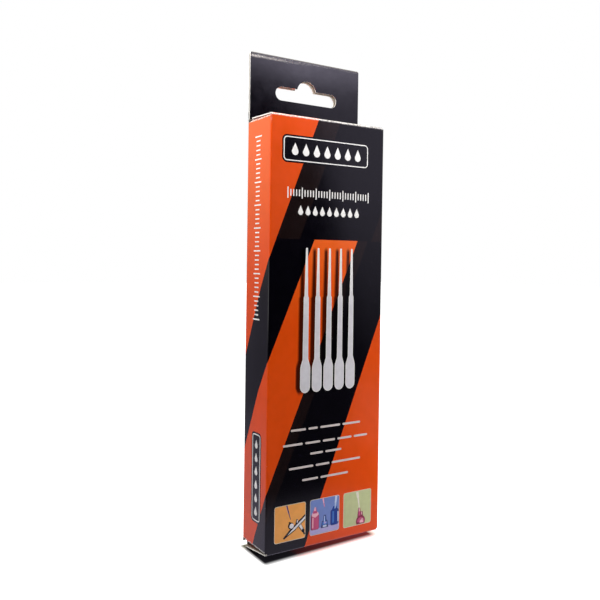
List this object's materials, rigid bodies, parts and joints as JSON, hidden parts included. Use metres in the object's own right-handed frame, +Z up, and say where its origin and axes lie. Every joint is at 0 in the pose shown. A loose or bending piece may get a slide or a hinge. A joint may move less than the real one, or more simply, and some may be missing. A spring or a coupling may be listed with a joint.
{
  "type": "hanging carton of dropper pipettes",
  "caption": "Flat tall folded-board carton with a double-ply hang tab, a hanging slot, tuck-in end panels and slim squeeze-bulb dropper pipettes standing inside.",
  "frame": {"origin": "middle of the base that the carton stands on", "axes": "+Z up towards the hang tab, -Y out of the printed front, +X to the right of the front as it is read"},
  "size_m": [0.058, 0.02, 0.209],
  "materials": {
    "printed_board": "satin",
    "top_panel_board": "satin",
    "bottom_panel_board": "satin",
    "pipette_plastic": "satin"
  },
  "bodies": {
    "carton": {"carton": "printed_board", "pipette_1": "pipette_plastic", "pipette_2": "pipette_plastic", "pipette_3": "pipette_plastic", "pipette_4": "pipette_plastic", "pipette_5": "pipette_plastic"},
    "top_flap": {"top_flap": "top_panel_board"},
    "bottom_flap": {"bottom_flap": "bottom_panel_board"}
  },
  "joints": [
    {"name": "top_flap_hinge", "type": "hinge", "parent": "carton", "child": "top_flap", "pos_m": [0, -0.00977, 0.17977], "axis": [1, 0, 0], "range_deg": [0, 180]},
    {"name": "bottom_flap_hinge", "type": "hinge", "parent": "carton", "child": "bottom_flap", "pos_m": [0, -0.00977, 0.00023], "axis": [-1, 0, 0], "range_deg": [0, 180]}
  ]
}
